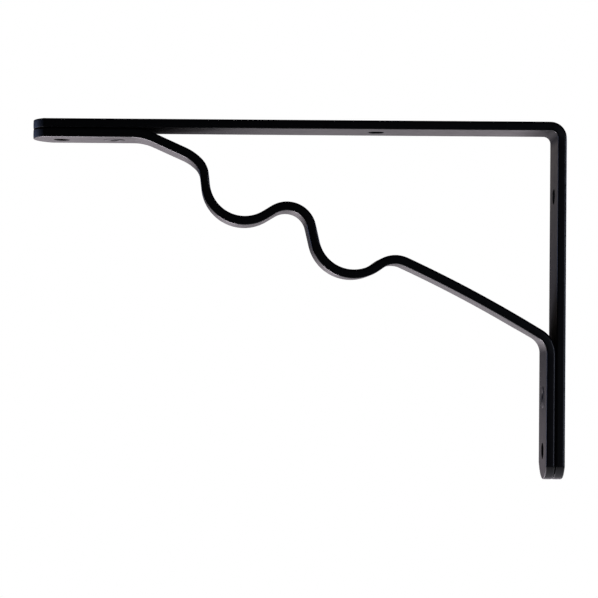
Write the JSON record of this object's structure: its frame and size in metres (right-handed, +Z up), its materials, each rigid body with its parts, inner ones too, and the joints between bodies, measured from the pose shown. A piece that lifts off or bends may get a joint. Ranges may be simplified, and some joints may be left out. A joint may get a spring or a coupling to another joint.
{
  "type": "hanger bracket",
  "caption": "Flat-bar wall bracket: an L of arm and leg with a riveted brace bar below, bent into two open cups that hold hanging rods.",
  "frame": {"origin": "on the wall side of the leg, halfway down it and in the middle of its width", "axes": "+X into the wall, away from the arm's free end; +Y across the bar's width; +Z up to the shelf"},
  "size_m": [0.3048, 0.0318, 0.2032],
  "materials": {
    "bar_coat": "semi-gloss black powder coat on flat steel bar",
    "rivet_coat": "semi-gloss black powder coat on steel rivets"
  },
  "bodies": {
    "root": {"angle_bar": "bar_coat", "brace_bar": "bar_coat", "rivet_arm": "rivet_coat", "rivet_leg": "rivet_coat"}
  },
  "joints": []
}
